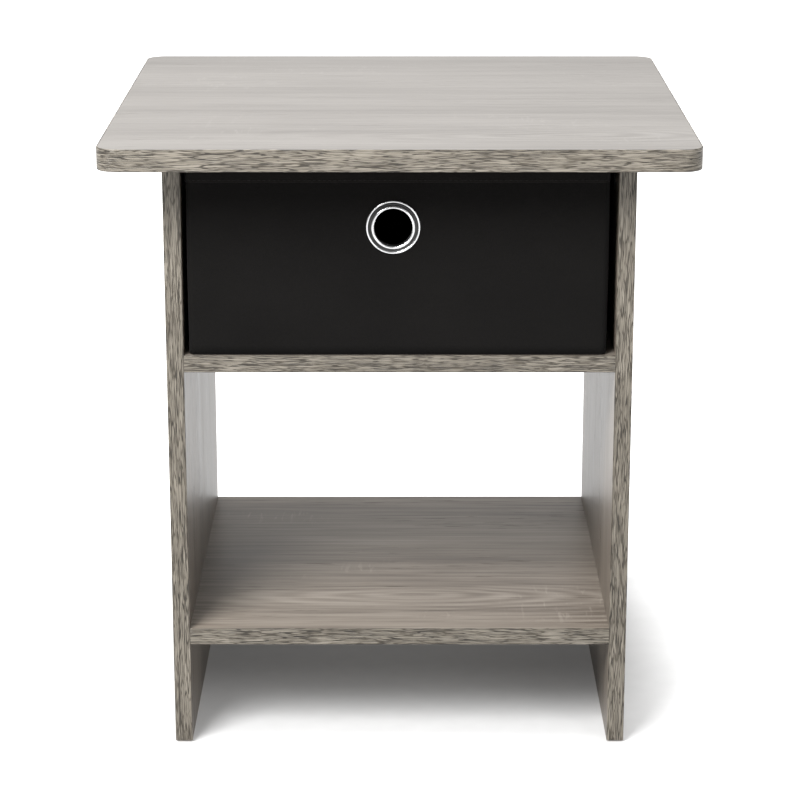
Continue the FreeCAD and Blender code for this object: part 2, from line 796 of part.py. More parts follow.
def place_on_front(body):
    """Puts a turned piece on the eyelet's axis, its own Z axis pointing out of the bin's front."""
    place(
        body,
        x="dims.bin_shift + dims.eyelet_shift",
        y=f"{BIN_Y} - dims.bin_depth / 2",
        z=f"{BIN_Z} + dims.eyelet_height",
        rotation=Rotation(Vector(0, 0, 1), Vector(0, -1, 0)),
    )


def eyelet_ring(doc):
    """Front half of the eyelet: a flange with a raised inner rim, and a barrel clenched behind.

    The flange and the rim are half-round beads with a groove between them, drawn as bevels.
    """
    body = new_body(doc, "eyelet_ring")
    hole, flange = "dims.eyelet_hole_diameter / 2", "dims.eyelet_flange_diameter / 2"
    barrel = f"{hole} + dims.eyelet_barrel_wall"
    lip = f"{hole} + dims.lip_width"
    back = f"-({WALL_THICKNESS} + dims.washer_thickness)"
    profile = new_sketch(body, "profile", "XZ_Plane")
    polygon(
        profile,
        [
            (hole, f"{back} - dims.lip_thickness"),
            (lip, f"{back} - dims.lip_thickness"),
            (lip, back),
            (barrel, back),
            (barrel, "0"),
            (flange, "0"),
            (flange, "dims.eyelet_flange_height - 0.4"),
            (f"{flange} - 0.4", "dims.eyelet_flange_height"),
            (f"{flange} - 1.2", "dims.eyelet_flange_height"),
            (f"{flange} - 1.7", "dims.eyelet_groove_height"),
            (f"{flange} - 2.4", "dims.eyelet_groove_height"),
            (f"{flange} - 3", "dims.eyelet_rim_height - 0.5"),
            (f"{hole} + 1.8", "dims.eyelet_rim_height"),
            (f"{hole} + 0.9", "dims.eyelet_rim_height - 0.1"),
            (f"{hole} + 0.2", "dims.eyelet_rim_height - 0.7"),
            (hole, "dims.eyelet_rim_height - 1.3"),
        ],
    )
    revolve(profile)
    place_on_front(body)
    return body


def eyelet_washer(doc):
    """Back half of the eyelet, a flat ring against the lining."""
    body = new_body(doc, "eyelet_washer")
    outline = new_sketch(body, "outline", offset=f"-{WALL_THICKNESS}")
    circles(outline, "dims.washer_diameter", [("0", "0")])
    circles(outline, "dims.eyelet_passage_diameter", [("0", "0")])
    pad(outline, "dims.washer_thickness", back=True)
    place_on_front(body)
    return body


def base_board(doc):
    """Loose board in the bottom of the bin, and the fabric sleeve round it, open at the rear."""
    floor = "(dims.fabric_thickness + dims.lining_thickness + dims.base_board_lift)"
    wrap = "dims.base_cover_thickness"
    edge = f"({WALL_THICKNESS} + dims.base_board_clearance)"
    width = f"(dims.bin_width - 2 * {edge})"
    depth = f"(dims.bin_depth - 2 * {edge})"
    core = new_body(doc, "base_board_core")
    outline = new_sketch(core, "outline", offset=f"{floor} + {wrap}")
    rectangle(outline, f"({width} - 2 * {wrap})", f"({depth} - {wrap})", y=f"{wrap} / 2")
    pad(outline, "dims.base_board_thickness")
    place_in_bin(core)

    cover = new_body(doc, "base_board_cover")
    outline = new_sketch(cover, "outline", offset=floor)
    rectangle(outline, width, depth)
    pad(outline, f"dims.base_board_thickness + 2 * {wrap}")
    sleeve = new_sketch(cover, "sleeve", "XZ_Plane", offset=f"-{depth} / 2")
    rectangle(
        sleeve,
        f"({width} - 2 * {wrap})",
        "dims.base_board_thickness",
        y=f"{floor} + {wrap} + dims.base_board_thickness / 2",
    )
    pocket(sleeve, f"{depth} - {wrap}", along_normal=True)
    place_in_bin(cover)
    return [core, cover]


# ---- the whole table -----------------------------------------------------------------------------


def build(doc):
    """Makes every piece and returns those that are written out, one file each."""
    pieces = [top_panel(doc), top_edge_band(doc)]
    pieces += [side_panel(doc, f"{word}_side_panel", side) for word, side in SIDES.items()]
    pieces += [shelf(doc, name, height) for name, height in SHELF_HEIGHTS.items()]
    pieces.append(back_panel(doc))
    pieces += edge_bands(doc)
    pieces += [cam_locks(doc), cam_bolts(doc), top_dowels(doc), shelf_dowels(doc)]
    pieces += screws_and_covers(doc)
    pieces.append(foot_glides(doc))
    pieces += [bin_bottom_fabric(doc), bin_wall_fabric(doc), bin_lining(doc), rim_binding(doc)]
    pieces += card_stiffeners(doc)
    pieces += [eyelet_ring(doc), eyelet_washer(doc)]
    pieces += base_board(doc)
    return pieces


def check(doc, pieces):
    """Stops if any object failed or any piece has no valid solid."""
    doc.recompute()
    failed = [item.Label for item in doc.Objects if {"Invalid", "Error"} & set(item.State)]
    failed += [item.Label for item in pieces if item.Shape.isNull() or not item.Shape.isValid()]
    failed += [item.Label for item in pieces if not item.Shape.Solids]
    if failed:
        raise ValueError(f"failed: {failed}")


def write(pieces):
    os.makedirs("parts", exist_ok=True)
    for piece in pieces:
        piece.Shape.exportStep(f"parts/{piece.Label}.step")
        box = piece.Shape.BoundBox
        print(f"{piece.Label}: {len(piece.Shape.Solids)} solids, x {box.XMin:.1f} {box.XMax:.1f}", end="")
        print(f", y {box.YMin:.1f} {box.YMax:.1f}, z {box.ZMin:.1f} {box.ZMax:.1f}")


document = FreeCAD.newDocument("side_table")
fill_sheet(document)
all_pieces = build(document)
check(document, all_pieces)
write(all_pieces)
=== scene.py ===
import json
import math

import bmesh
import bpy
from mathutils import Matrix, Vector


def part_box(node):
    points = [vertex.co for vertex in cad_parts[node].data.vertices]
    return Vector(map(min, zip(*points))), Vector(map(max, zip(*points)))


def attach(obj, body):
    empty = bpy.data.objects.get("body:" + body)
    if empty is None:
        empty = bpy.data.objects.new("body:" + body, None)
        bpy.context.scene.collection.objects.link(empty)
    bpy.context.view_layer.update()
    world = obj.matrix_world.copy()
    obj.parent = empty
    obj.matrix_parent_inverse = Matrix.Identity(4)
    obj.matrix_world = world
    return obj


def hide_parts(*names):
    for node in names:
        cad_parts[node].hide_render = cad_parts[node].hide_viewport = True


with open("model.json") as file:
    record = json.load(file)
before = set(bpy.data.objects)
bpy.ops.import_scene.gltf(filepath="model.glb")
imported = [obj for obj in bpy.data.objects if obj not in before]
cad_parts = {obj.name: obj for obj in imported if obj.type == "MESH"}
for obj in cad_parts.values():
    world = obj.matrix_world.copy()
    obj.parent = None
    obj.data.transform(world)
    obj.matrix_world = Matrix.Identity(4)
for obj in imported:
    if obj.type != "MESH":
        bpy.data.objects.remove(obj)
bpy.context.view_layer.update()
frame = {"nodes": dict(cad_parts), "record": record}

# A side table with a fabric bin as its drawer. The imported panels, fixings and cards keep their
# meshes and get node materials here. The bin's fabric, its eyelet and the base board's sleeve are
# built here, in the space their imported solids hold. Metres, +Z up, the front faces -Y.

MM = 0.001

# camera: where the photograph was taken from, with no lens shift
CAMERA_PLACE = (0.0003, -1.910, 0.7643)
CAMERA_PITCH = 16.13
CAMERA_LENS = 119.3

# eyelet: the cloth's hole, the ring's hole, the widths of its inner and outer bead, half the
# square of wall cloth that is rebuilt about it, how far from its middle the cloth lies flat
EYELET_HOLE_RADIUS = 14 * MM
EYELET_RING_HOLE = 13 * MM
EYELET_BEAD = 2.0 * MM
EYELET_EDGE = 1.5 * MM
EYELET_PATCH = 24 * MM
EYELET_CLEAR = 34 * MM
EYELET_STEPS = 128
BEAD_STEPS = 8

# fabric
WALL_CLOTH = 0.8 * MM
WALL_SLACK = 0.55 * MM
LINING_SLACK = 0.7 * MM
LINING_CLOTH = 0.6 * MM
SLEEVE_CLOTH = 0.6 * MM
TAPE = 0.6 * MM
CORNER_RADIUS = 4 * MM
CORNER_STEPS = 5
CLOTH_STEP = 7 * MM
STITCH_LENGTH = 2.5 * MM
STITCH_PITCH = 3.4 * MM
THREAD_RADIUS = 0.21 * MM

# the round corners of the top, where its band turns
TOP_CORNER = 14 * MM

# a quarter turn in steps, for turned edges
QUARTER = [math.pi / 2 * i / 5 for i in range(6)]

# boards: the axis the grain runs along, the axis across it, the middle of the growth rings, where
# pale rays gather, a seed, the print's middle tone, how strong its contrast is and how grey it is
BOARDS = {
    "top_panel": ("x", "y", (0.11, -0.150), (-0.13, 0.07), 1.3, 0.53, 0.34, 0.62),
    "middle_shelf": ("x", "y", (-0.30, 0.02), (0.05, 0.06), 7.7, 0.46, 0.8, 0.2),
    "bottom_shelf": ("x", "y", (0.01, -0.085), (0.115, -0.10), 3.1, 0.51, 1.05, 0.0),
    "back_panel": ("x", "z", (0.25, 0.33), (-0.07, 0.36), 5.9, 0.46, 0.8, 0.2),
    # The side panels' middle tone, 0.38, is set below the other boards': painted shade, the same print
    # made darker for the shade the sides stand in.
    "left_side_panel": ("z", "y", (0.18, 0.05), (0.30, -0.06), 9.2, 0.38, 0.9, 0.0),
    "right_side_panel": ("z", "y", (0.30, -0.03), (0.12, 0.07), 12.6, 0.38, 0.9, 0.0),
}


# ---------------------------------------------------------------------------------------------
# node graphs


class Graph:
    """The nodes of a material or a world while they are being wired."""

    def __init__(self, owner, shader="Principled BSDF"):
        owner.use_nodes = True
        self.owner = owner
        self.tree = owner.node_tree
        self.shader = self.tree.nodes[shader]

    def node(self, kind, inputs, **settings):
        """A new node; inputs maps a socket's name or number to a value or to another socket."""
        made = self.tree.nodes.new(kind)
        for key, value in settings.items():
            setattr(made, key, value)
        for key, value in inputs.items():
            self.feed(made.inputs[key], value)
        return made

    def feed(self, socket, value):
        if isinstance(value, bpy.types.NodeSocket):
            self.tree.links.new(value, socket)
        else:
            socket.default_value = value

    def surface(self, **values):
        """Sets the shader's sockets; an underscore in a name stands for a space."""
        for key, value in values.items():
            self.feed(self.shader.inputs[key.replace("_", " ")], value)
        return self.owner

    def do(self, operation, a, b=0.0):
        return self.node("ShaderNodeMath", {0: a, 1: b}, operation=operation).outputs[0]

    def add(self, a, b):
        return self.do("ADD", a, b)

    def times(self, a, b):
        return self.do("MULTIPLY", a, b)

    def distance(self, a, b):
        """The length of the flat vector (a, b)."""
        return self.do("SQRT", self.add(self.do("POWER", a, 2.0), self.do("POWER", b, 2.0)))

    def total(self, start, *weighted):
        """start plus each value times its weight."""
        for value, weight in weighted:
            start = self.add(start, self.times(value, weight))
        return start

    def span(self, value, low, high, to_low=0.0, to_high=1.0):
        """value from low..high, smoothly onto to_low..to_high."""
        made = self.node(
            "ShaderNodeMapRange",
            {"Value": value, "From Min": low, "From Max": high, "To Min": to_low, "To Max": to_high},
            interpolation_type="SMOOTHSTEP",
        )
        return made.outputs["Result"]

    def mix(self, factor, a, b):
        made = self.node("ShaderNodeMix", {}, data_type="RGBA")
        self.feed(made.inputs[0], factor)
        self.feed(made.inputs[6], a)
        self.feed(made.inputs[7], b)
        return made.outputs[2]

    def ramp(self, factor, *stops):
        """A colour ramp; each stop is (position, colour)."""
        made = self.node("ShaderNodeValToRGB", {"Fac": factor})
        marks = made.color_ramp.elements
        while len(marks) < len(stops):
            marks.new(0.5)
        for mark, (position, colour) in zip(marks, stops):
            mark.position = position
            mark.color = (*colour, 1.0)
        return made.outputs["Color"]

    def object_place(self):
        return self.node("ShaderNodeTexCoord", {}).outputs["Object"]

    def object_normal(self):
        return self.node("ShaderNodeTexCoord", {}).outputs["Normal"]

    def cut_place(self):
        """Where a point is on the flat cut of a cloth, in metres."""
        return self.node("ShaderNodeUVMap", {}, uv_map="cut").outputs["UV"]

    def split(self, vector):
        return self.node("ShaderNodeSeparateXYZ", {0: vector}).outputs

    def join(self, x, y, z):
        return self.node("ShaderNodeCombineXYZ", {0: x, 1: y, 2: z}).outputs[0]

    def stretch(self, vector, factors):
        made = self.node("ShaderNodeVectorMath", {0: vector, 1: factors}, operation="MULTIPLY")
        return made.outputs[0]

    def shift(self, vector, offset):
        made = self.node("ShaderNodeVectorMath", {0: vector, 1: offset}, operation="ADD")
        return made.outputs[0]

    def noise(self, vector, factors, detail=2.0, roughness=0.5, distortion=0.0):
        """Noise from 0 to 1 about 0.5; factors are its waves per metre along each axis."""
        made = self.node(
            "ShaderNodeTexNoise",
            {
                "Vector": self.stretch(vector, factors),
                "Scale": 1.0,
                "Detail": detail,
                "Roughness": roughness,
                "Distortion": distortion,
            },
        )
        return made.outputs[0]

    def cells(self, vector, factors):
        inputs = {"Vector": self.stretch(vector, factors), "Scale": 1.0}
        return self.node("ShaderNodeTexVoronoi", inputs).outputs

    def bump(self, height, distance):
        inputs = {"Height": height, "Distance": distance, "Strength": 1.0}
        return self.node("ShaderNodeBump", inputs).outputs[0]


# ---------------------------------------------------------------------------------------------
# materials


def new_graph(name):
    return Graph(bpy.data.materials.new(name))


def grain_space(g, along, across, seed):
    """Object coordinates as (along the grain, across it, through the board), moved by seed."""
    x, y, z = g.split(g.object_place())
    axes = {"x": x, "y": y, "z": z}
    place = g.join(axes[along], axes[across], axes[through_axis(along, across)])
    return g.shift(place, (seed, seed, seed))


def chipboard(g):
    """Pressed chips, seen in the drilled holes and on the ends that carry no band."""
    place = g.object_place()
    chips = g.cells(place, (700, 700, 700))
    tone = g.total(0.0, (g.split(chips["Color"])[0], 0.6), (g.noise(place, (2500,) * 3), 0.4))
    colour = g.ramp(
        tone,
        (0.15, (0.16, 0.10, 0.055)),
        (0.50, (0.38, 0.27, 0.16)),
        (0.85, (0.58, 0.45, 0.29)),
    )
    return colour, g.do("SUBTRACT", tone, 0.5)


def growth_rings(g, place, heart, seed):
    """Dark and pale rings, drawn out along the grain round heart. Returns (rings, how near the
    heart they are)."""
    u, v, w = g.split(place)
    wander = g.noise(place, (5, 16, 8), detail=3.0)
    along = g.times(g.add(u, -heart[0] - seed), 0.17)
    across = g.add(g.add(v, -heart[1] - seed), g.times(g.add(wander, -0.5), 0.035))
    far = g.distance(along, across)
    turns = g.add(g.times(far, 900.0), g.times(wander, 9.0))
    return g.do("SINE", turns), g.span(far, 0.010, 0.036, 1.0, 0.0)


def pale_rays(g, place, gather, seed):
    """Short pale flecks that cross the grain, a few anywhere and more of them round gather."""
    u, v, w = g.split(place)
    along = g.add(u, -gather[0] - seed)
    across = g.add(v, -gather[1] - seed)
    far = g.distance(along, across)
    near = g.span(far, 0.015, 0.050, 1.0, 0.0)
    some = g.span(g.noise(place, (8, 13, 9)), 0.60, 0.72, 0.0, 0.8)
    fleck = g.span(g.noise(place, (300, 46, 60), detail=2.0, distortion=0.6), 0.58, 0.70)
    return g.times(fleck, g.do("MAXIMUM", near, some))


def laminate(name, along, across, heart, gather, seed, middle, contrast, grey):
    """Grey oak print on a satin paper: slow bands, growth rings, fibres, pores and pale rays."""
    g = new_graph(name)
    place = grain_space(g, along, across, seed)
    bands = g.noise(place, (1.6, 26, 20), detail=3.0, roughness=0.55)
    rings, near_heart = growth_rings(g, place, heart, seed)
    ring_patch = g.span(g.noise(place, (3.5, 9, 5)), 0.42, 0.62)
    streaks = g.noise(place, (7, 260, 60), detail=4.0, roughness=0.65, distortion=0.3)
    fibres = g.noise(place, (22, 900, 260), detail=2.0)
    patches = g.noise(place, (6, 14, 9), detail=2.0)
    pores = g.times(
        g.span(g.noise(place, (34, 780, 200), detail=2.0), 0.63, 0.70),
        g.span(g.noise(place, (5, 34, 9)), 0.47, 0.63),
    )
    rays = pale_rays(g, place, gather, seed)
    tone = g.total(
        0.0,
        (g.add(bands, -0.5), 0.95),
        (g.times(rings, ring_patch), 0.09),
        (g.times(rings, near_heart), 0.10),
        (g.add(streaks, -0.5), 0.95),
        (g.add(fibres, -0.5), 0.60),
        (g.add(patches, -0.5), 0.35),
        (pores, -0.42),
        (rays, 0.26),
    )
    print_colour = g.ramp(
        g.add(middle, g.times(tone, contrast)),
        (0.05, greyer((0.052, 0.040, 0.030), grey)),
        (0.38, greyer((0.112, 0.092, 0.073), grey)),
        (0.55, greyer((0.152, 0.129, 0.105), grey)),
        (0.95, greyer((0.230, 0.203, 0.172), grey)),
    )
    chip_colour, chip_height = chipboard(g)
    facing = g.do("ABSOLUTE", g.split(g.object_normal())["xyz".index(through_axis(along, across))])
    raw = g.span(facing, 0.6, 0.7, 1.0, 0.0)
    height = g.total(0.0, (fibres, 0.35), (streaks, 0.30), (pores, -0.8))
    height = g.add(height, g.times(raw, g.times(chip_height, 6.0)))
    rough = g.total(0.41, (g.add(fibres, -0.5), 0.16), (g.add(bands, -0.5), 0.12), (pores, 0.2))
    return g.surface(
        Base_Color=g.mix(raw, print_colour, chip_colour),
        Roughness=g.add(rough, g.times(raw, 0.4)),
        Specular_IOR_Level=0.42,
        Normal=g.bump(height, 0.06 * MM),
    )


def greyer(colour, share):
    """colour moved that share of the way to a grey as bright."""
    level = sum(colour) / 3
    return tuple(c + (level - c) * share for c in colour)


def through_axis(along, across):
    return next(name for name in "xyz" if name not in (along, across))


def band_surface(g, place, edge):
    """Coarse brushed grain: fine dark lines that run together and part again. edge is 1 at the
    band's two long edges, where the colour is darkened as painted shade on the eased corner."""
    wander = g.noise(place, (24, 60, 40), detail=2.0)
    u, v, w = g.split(place)
    bent = g.join(u, g.add(v, g.times(g.add(wander, -0.5), 3.0 * MM)), w)
    coarse = g.noise(bent, (36, 760, 160), detail=1.0, roughness=0.4)
    fine = g.noise(bent, (58, 1250, 280), detail=1.0, roughness=0.4)
    slow = g.noise(place, (10, 60, 20), detail=2.0)
    crack = g.span(g.do("ABSOLUTE", g.add(coarse, -0.5)), 0.014, 0.060, 1.0, 0.0)
    hair = g.span(g.do("ABSOLUTE", g.add(fine, -0.5)), 0.014, 0.078, 1.0, 0.0)
    weight = g.span(g.noise(place, (70, 200, 80)), 0.32, 0.54, 0.40, 1.0)
    lines = g.do("MAXIMUM", g.times(crack, weight), g.times(hair, 0.58))
    tone = g.total(
        0.74,
        (lines, -0.66),
        (g.add(fine, -0.5), 0.45),
        (g.add(slow, -0.5), 0.40),
        # edge: painted shade, darker towards the band's two long eased corners
        (edge, -0.14),
    )
    colour = g.ramp(
        tone,
        (0.02, (0.012, 0.009, 0.005)),
        (0.35, (0.034, 0.027, 0.018)),
        (0.62, (0.112, 0.098, 0.077)),
        (0.95, (0.190, 0.171, 0.141)),
    )
    height = g.total(0.0, (lines, -0.9), (fine, 0.5))
    return g.surface(
        Base_Color=colour,
        Roughness=g.add(0.46, g.times(height, -0.12)),
        Normal=g.bump(height, 0.12 * MM),
    )


def edge_shade_mask(g, across, low, high):
    """Rises from 0 to 1 in the last 0.9 mm before low and high, on the axis across a band: the
    mask of the painted shade on the band's eased corners.
    """
    middle, half = (low + high) / 2, (high - low) / 2
    out = g.do("ABSOLUTE", g.add(across, -middle))
    return g.span(out, half - 0.9 * MM, half - 0.1 * MM)


def straight_band(name, along, across, seed):
    """An edge band that runs along one axis."""
    g = new_graph(name)
    low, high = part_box(name)
    parts = g.split(g.object_place())
    i = "xyz".index(across)
    edge = edge_shade_mask(g, parts[i], low[i], high[i])
    return band_surface(g, grain_space(g, along, across, seed), edge)


def loop_length(g, x, y, half, radius):
    """Length round a square with round corners from the middle of its front, as the band is
    glued. It only jumps at the middle of the back, where the band's ends meet."""
    straight = half - radius
    ax, ay = g.do("ABSOLUTE", x), g.do("ABSOLUTE", y)
    past_x = g.do("MAXIMUM", g.add(ax, -straight), 0.0)
    past_y = g.do("MAXIMUM", g.add(ay, -straight), 0.0)
    turn = g.times(g.do("ARCTAN2", past_y, past_x), radius)
    on_x = g.do("SUBTRACT", straight, g.do("MINIMUM", ax, straight))
    side = g.add(g.add(g.do("MINIMUM", ay, straight), turn), on_x)
    quarter = 2 * straight + radius * math.pi / 2
    return g.times(g.do("SIGN", x), g.add(quarter, g.times(g.do("SIGN", y), side)))


def top_band(name, radius, seed):
    """The band that runs all round the top."""
    g = new_graph(name)
    low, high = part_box(name)
    x, y, z = g.split(g.object_place())
    length = loop_length(g, x, y, (high.x - low.x) / 2, radius)
    place = g.shift(g.join(length, z, 0.0), (seed, seed, seed))
    return band_surface(g, place, edge_shade_mask(g, z, low.z, high.z))


def cast_zinc():
    """Die-cast zinc: dull, grainy, with slightly darker hollows."""
    g = new_graph("cast_zinc")
    place = g.object_place()
    grain = g.noise(place, (1800,) * 3, detail=3.0)
    cloud = g.noise(place, (160,) * 3, detail=3.0)
    tone = g.total(0.0, (grain, 0.4), (cloud, 0.6))
    return g.surface(
        Base_Color=g.ramp(tone, (0.3, (0.33, 0.33, 0.34)), (0.7, (0.58, 0.58, 0.59))),
        Metallic=1.0,
        Roughness=g.span(cloud, 0.3, 0.7, 0.38, 0.58),
        Normal=g.bump(grain, 0.04 * MM),
    )


def plated_steel():
    """Bright zinc plating with faint turning marks and a yellow-blue cast."""
    g = new_graph("plated_steel")
    place = g.object_place()
    turned = g.noise(place, (3500, 300, 300), detail=2.0)
    cloud = g.noise(place, (90,) * 3, detail=3.0)
    return g.surface(
        Base_Color=g.ramp(cloud, (0.3, (0.62, 0.63, 0.66)), (0.7, (0.72, 0.70, 0.64))),
        Metallic=1.0,
        Roughness=g.span(turned, 0.3, 0.7, 0.20, 0.36),
        Normal=g.bump(turned, 0.02 * MM),
    )


def beech():
    """Bare turned beech: pale, with short darker flecks along the dowel."""
    g = new_graph("beech")
    place = g.object_place()
    fleck = g.span(g.noise(place, (420, 420, 420), detail=2.0), 0.58, 0.70)
    grain = g.noise(place, (160, 700, 160), detail=3.0)
    tone = g.total(0.0, (grain, 1.0), (fleck, -0.35))
    return g.surface(
        Base_Color=g.ramp(tone, (0.2, (0.36, 0.22, 0.12)), (0.7, (0.66, 0.48, 0.31))),
        Roughness=g.span(grain, 0.3, 0.7, 0.55, 0.75),
        Normal=g.bump(grain, 0.05 * MM),
    )


def cover_disc():
    """Printed film discs that hide the screw heads, a shade off the boards."""
    g = new_graph("cover_disc")
    place = grain_space(g, "z", "y", 21.0)
    streaks = g.noise(place, (30, 700, 60), detail=3.0)
    bands = g.noise(place, (8, 90, 20), detail=2.0)
    tone = g.total(0.5, (g.add(streaks, -0.5), 0.8), (g.add(bands, -0.5), 0.6))
    return g.surface(
        Base_Color=g.ramp(tone, (0.2, (0.075, 0.062, 0.050)), (0.8, (0.180, 0.158, 0.132))),
        Roughness=g.span(streaks, 0.3, 0.7, 0.34, 0.46),
        Normal=g.bump(streaks, 0.03 * MM),
    )


def glide_plastic():
    """Dark moulded plastic with a fine spark-eroded texture and scuffs underneath."""
    g = new_graph("glide_plastic")
    place = g.object_place()
    grain = g.noise(place, (2600,) * 3, detail=2.0)
    scuff = g.span(g.noise(place, (260, 900, 260), detail=3.0), 0.55, 0.72)
    return g.surface(
        Base_Color=g.ramp(scuff, (0.0, (0.018, 0.018, 0.017)), (1.0, (0.070, 0.068, 0.064))),
        Roughness=g.total(0.42, (grain, 0.15), (scuff, 0.2)),
        Normal=g.bump(grain, 0.04 * MM),
    )


def card():
    """Grey-brown board with pressed fibres."""
    g = new_graph("card")
    place = g.object_place()
    fibres = g.noise(place, (420, 420, 420), detail=4.0, roughness=0.7, distortion=1.2)
    specks = g.span(g.noise(place, (1500,) * 3), 0.66, 0.74)
    tone = g.total(0.0, (fibres, 1.0), (specks, -0.3))
    return g.surface(
        Base_Color=g.ramp(tone, (0.25, (0.20, 0.145, 0.092)), (0.7, (0.40, 0.31, 0.21))),
        Roughness=g.span(fibres, 0.3, 0.7, 0.78, 0.92),
        Normal=g.bump(fibres, 0.08 * MM),
    )


def spunbond(name, shade, pitch, depth):
    """Non-woven cloth: matted fibres welded in a grid of small lozenges, pitch apart."""
    g = new_graph(name)
    place = g.cut_place()
    u, v, w = g.split(place)
    turn = 2 * math.pi / pitch
    diagonal = g.do("SINE", g.times(g.add(u, v), turn / 2))
    other = g.do("SINE", g.times(g.do("SUBTRACT", u, v), turn / 2))
    weld = g.span(g.do("ABSOLUTE", g.times(diagonal, other)), 0.45, 0.85)
    fibres = g.noise(place, (1900, 1900, 1), detail=3.0, roughness=0.7, distortion=1.5)
    threads = g.span(g.do("ABSOLUTE", g.add(fibres, -0.5)), 0.0, 0.05, 1.0, 0.0)
    lint = g.span(g.noise(place, (620, 620, 1), detail=3.0), 0.66, 0.76)
    cloud = g.noise(place, (14, 18, 1), detail=3.0)
    tone = g.total(
        0.36,
        (g.add(cloud, -0.5), 0.50),
        (threads, 0.14),
        (weld, -0.20),
        (lint, 0.30),
    )
    dark, pale = (tuple(shade[i] * k for i in range(3)) for k in (0.55, 1.9))
    height = g.total(0.0, (weld, -1.0), (fibres, 0.5))
    return g.surface(
        Base_Color=g.ramp(tone, (0.0, dark), (1.0, pale)),
        Roughness=g.span(weld, 0.0, 1.0, 0.92, 0.72),
        Specular_IOR_Level=0.07,
        Sheen_Weight=0.015,
        Sheen_Roughness=0.45,
        Normal=g.bump(height, depth),
    )


def tape_weave(name, shade):
    """Grosgrain tape: fine ribs across its width, crossed by the warp's threads."""
    g = new_graph(name)
    place = g.cut_place()
    u, v, w = g.split(place)
    ribs = g.do("SINE", g.times(u, 2 * math.pi / (0.75 * MM)))
    warp = g.do("SINE", g.times(v, 2 * math.pi / (0.42 * MM)))
    fuzz = g.noise(place, (1500, 1500, 1), detail=3.0)
    tone = g.total(0.5, (ribs, 0.16), (warp, 0.08), (g.add(fuzz, -0.5), 0.9))
    dark, pale = (tuple(shade[i] * k for i in range(3)) for k in (0.5, 1.7))
    height = g.total(0.0, (ribs, 0.5), (warp, 0.25), (fuzz, 0.3))
    return g.surface(
        Base_Color=g.ramp(tone, (0.1, dark), (0.9, pale)),
        Roughness=g.span(fuzz, 0.3, 0.7, 0.70, 0.88),
        Specular_IOR_Level=0.08,
        Sheen_Weight=0.015,
        Normal=g.bump(height, 0.12 * MM),
    )


def thread():
    """Black sewing thread: two plies twisted together."""
    g = new_graph("thread")
    x, y, z = g.split(g.object_place())
    ply = g.do("SINE", g.times(g.add(g.add(x, y), g.times(z, 1.7)), 2 * math.pi / (0.5 * MM)))
    fuzz = g.noise(g.object_place(), (3000,) * 3, detail=2.0)
    tone = g.total(0.5, (ply, 0.25), (g.add(fuzz, -0.5), 0.8))
    return g.surface(
        Base_Color=g.ramp(tone, (0.1, (0.003, 0.003, 0.003)), (0.9, (0.016, 0.015, 0.014))),
        Roughness=g.span(fuzz, 0.3, 0.7, 0.5, 0.7),
        Specular_IOR_Level=0.12,
        Normal=g.bump(ply, 0.06 * MM),
    )


def chrome():
    """Bright plating with hairline polishing marks round the axis, faint finger marks, and painted
    shade in the groove between the two beads: a dark colour there that stands in for its shadow."""
    g = new_graph("chrome")
    low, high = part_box("eyelet_ring")
    x, y, z = g.split(g.object_place())
    dx = g.add(x, -(low.x + high.x) / 2)
    dz = g.add(z, -(low.z + high.z) / 2)
    radius = g.distance(dx, dz)
    hairlines = g.noise(g.join(radius, 0.0, 0.0), (9000, 1, 1), detail=2.0)
    marks = g.noise(g.object_place(), (70,) * 3, detail=2.0)
    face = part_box("bin_wall_fabric")[0].y
    inner = EYELET_RING_HOLE + EYELET_BEAD
    outer = (high.x - low.x) / 2 - EYELET_EDGE
    # groove: the ring between the two beads on the front face, painted dark as painted shade and made
    # rougher
    groove = g.times(
        g.span(radius, inner - 0.5 * MM, inner + 0.2 * MM),
        g.span(radius, outer - 0.2 * MM, outer + 0.4 * MM, 1.0, 0.0),
    )
    groove = g.times(groove, g.span(y, face, face + 0.5 * MM, 1.0, 0.0))
    bright_plating = g.ramp(marks, (0.3, (0.62, 0.62, 0.63)), (0.7, (0.80, 0.80, 0.81)))
    return g.surface(
        # the groove's dark ramp is the painted shade
        Base_Color=g.mix(groove, bright_plating, g.ramp(marks, (0.3, (0.035,) * 3), (0.7, (0.060,) * 3))),
        Metallic=1.0,
        Roughness=g.add(g.span(marks, 0.35, 0.75, 0.22, 0.29), g.times(groove, 0.15)),
        Normal=g.bump(hairlines, 0.001 * MM),
    )


def studio_floor():
    """Pale matte paper that glows as painted light, though it is no lamp: faintly under the table,
    strongly beside and behind it, where the glow thins the table's cast shadow, a little in front,
    and more far away from it, so that it stays white to its far edge."""
    g = new_graph("studio_floor")
    place = g.object_place()
    x, y, z = g.split(place)
    tooth = g.noise(place, (60,) * 3, detail=2.0)
    # out, behind, near and front place the floor's glow, painted light: near lights the floor beside
    # and behind the table and thins its cast shadow there
    out = g.do("MAXIMUM", g.do("ABSOLUTE", x), g.do("ABSOLUTE", y))
    behind = g.span(y, -0.30, 0.05)
    near = g.times(g.span(out, 0.155, 0.25), behind)
    front = g.span(y, -0.11, 0.01, 1.0, 0.0)
    return g.surface(
        Base_Color=g.ramp(tooth, (0.3, (0.42, 0.42, 0.42)), (0.7, (0.44, 0.44, 0.44))),
        Roughness=g.span(tooth, 0.3, 0.7, 0.85, 0.95),
        Specular_IOR_Level=0.0,
        Emission_Color=(1.0, 1.0, 1.0, 1.0),
        Emission_Strength=g.total(0.06, (near, 0.70), (front, 0.11), (g.span(out, 0.6, 3), 0.22)),
    )


# ---------------------------------------------------------------------------------------------
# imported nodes


def dress(name, material):
    """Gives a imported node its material."""
    for slot in frame["nodes"][name].material_slots:
        slot.material = material


def dress_boards():
    for name, facts in BOARDS.items():
        dress(name, laminate(name, *facts))


